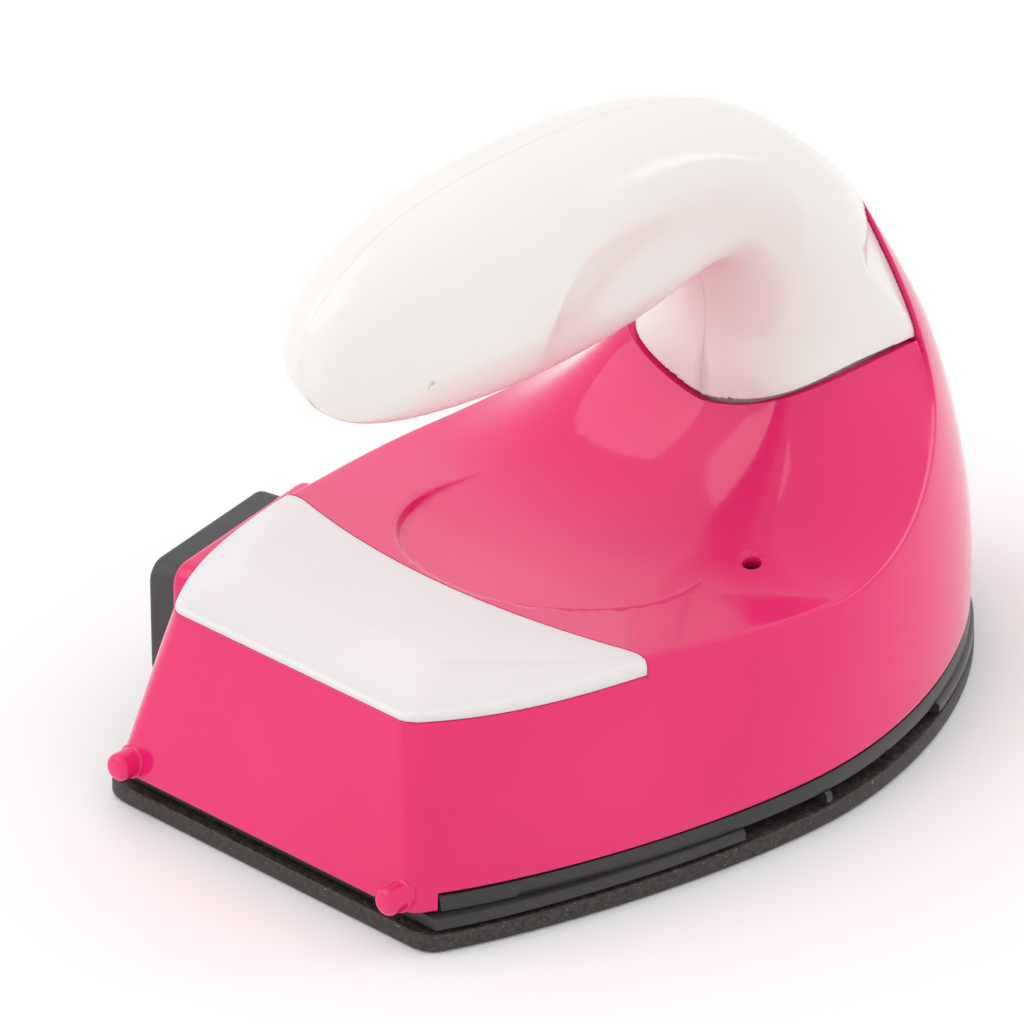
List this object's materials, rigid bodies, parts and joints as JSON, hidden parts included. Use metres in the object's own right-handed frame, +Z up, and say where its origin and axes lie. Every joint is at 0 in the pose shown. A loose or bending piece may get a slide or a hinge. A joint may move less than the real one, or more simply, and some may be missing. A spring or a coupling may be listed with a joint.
{
  "type": "mini craft iron",
  "caption": "Palm-sized electric craft iron: flat heated soleplate, scooped glossy housing with a tail lens, side power inlet and an arching cantilevered grip.",
  "frame": {"origin": "on the working face of the soleplate, in the plane of symmetry, at the sole's widest point", "axes": "+X to the nose, +Y to the left flank with the power inlet, +Z up away from the working face"},
  "size_m": [0.1032, 0.07, 0.0712],
  "materials": {
    "coated_sole": "dark grey non-stick coating, fine light speckle, satin",
    "heat_plastic": "near-black heat-resistant plastic, satin",
    "pink_plastic": "deep pink moulded plastic, gloss",
    "lens_plastic": "milky translucent white, smooth",
    "white_plastic": "warm white moulded plastic, soft gloss",
    "inlet_plastic": "charcoal moulded plastic, fine matte texture",
    "screw_steel": "zinc-plated steel",
    "pin_brass": "plated brass",
    "bare_aluminium": "mill finish",
    "contact_brass": "bright strip",
    "ceramic": null,
    "phenolic": "dark brown phenolic",
    "board_laminate": "green glass-epoxy laminate",
    "led_resin": "diffused red resin",
    "blue_wire": "blue insulation",
    "red_wire": "red insulation",
    "sheet_steel": "plain sheet"
  },
  "bodies": {
    "iron_body": {"soleplate": "coated_sole", "base_frame": "heat_plastic", "main_housing": "pink_plastic", "indicator_lens": "lens_plastic", "handle_shell_left": "white_plastic", "handle_shell_right": "white_plastic", "inlet_housing": "inlet_plastic", "inlet_pin_live": "pin_brass", "inlet_pin_neutral": "pin_brass", "inlet_retainer": "heat_plastic", "heater_case": "bare_aluminium", "heater_electrode_lower": "contact_brass", "heater_ptc_ceramic": "ceramic", "heater_electrode_upper": "contact_brass", "heater_clamp_bridge": "sheet_steel", "heater_clamp_screw_left": "screw_steel", "heater_clamp_screw_right": "screw_steel", "heat_shield": "bare_aluminium", "thermostat_cap": "bare_aluminium", "thermostat_body": "phenolic", "thermostat_fixed_terminal": "contact_brass", "thermostat_blade_terminal": "contact_brass", "thermostat_flange": "sheet_steel", "thermostat_screw_left": "screw_steel", "thermostat_screw_right": "screw_steel", "thermal_fuse": "sheet_steel", "fuse_clip": "sheet_steel", "fuse_clip_screw": "screw_steel", "led_board": "board_laminate", "indicator_led": "led_resin", "led_resistor": "phenolic", "led_board_screw_left": "screw_steel", "led_board_screw_right": "screw_steel", "lead_live_to_fuse": "red_wire", "lead_fuse_to_thermostat": "red_wire", "lead_thermostat_to_heater": "red_wire", "lead_neutral_to_heater": "blue_wire", "frame_screw_rear_left": "screw_steel", "frame_screw_front_left": "screw_steel", "neck_screw_left": "screw_steel", "frame_screw_rear_right": "screw_steel", "frame_screw_front_right": "screw_steel", "neck_screw_right": "screw_steel", "sole_screw_nose": "screw_steel", "sole_screw_rear_left": "screw_steel", "sole_screw_rear_right": "screw_steel", "handle_screw_tip": "screw_steel", "handle_screw_middle": "screw_steel", "handle_screw_neck": "screw_steel"},
    "disc": {"thermostat_disc": "sheet_steel"},
    "push_pin": {"thermostat_push_pin": "ceramic"},
    "contact_blade": {"thermostat_contact_blade": "contact_brass"}
  },
  "joints": [
    {"name": "push_pin_slide", "type": "slide", "parent": "iron_body", "child": "push_pin", "axis": [0, 0, 1], "range_m": [0, 0.0004], "stiffness_N_per_m": 20},
    {"name": "disc_snap", "type": "slide", "parent": "iron_body", "child": "disc", "axis": [0, 0, 1], "range_m": [0, 0.0004]},
    {"name": "contact_blade_flex", "type": "hinge", "parent": "iron_body", "child": "contact_blade", "pos_m": [-0.0246, 0, 0.00948], "axis": [0, -1, 0], "range_deg": [0, 5.1]}
  ],
  "couplings": [
    {"joint": "disc_snap", "follows": "push_pin_slide", "ratio": 1},
    {"joint": "contact_blade_flex", "follows": "push_pin_slide", "rad_per_m": 217.5}
  ]
}
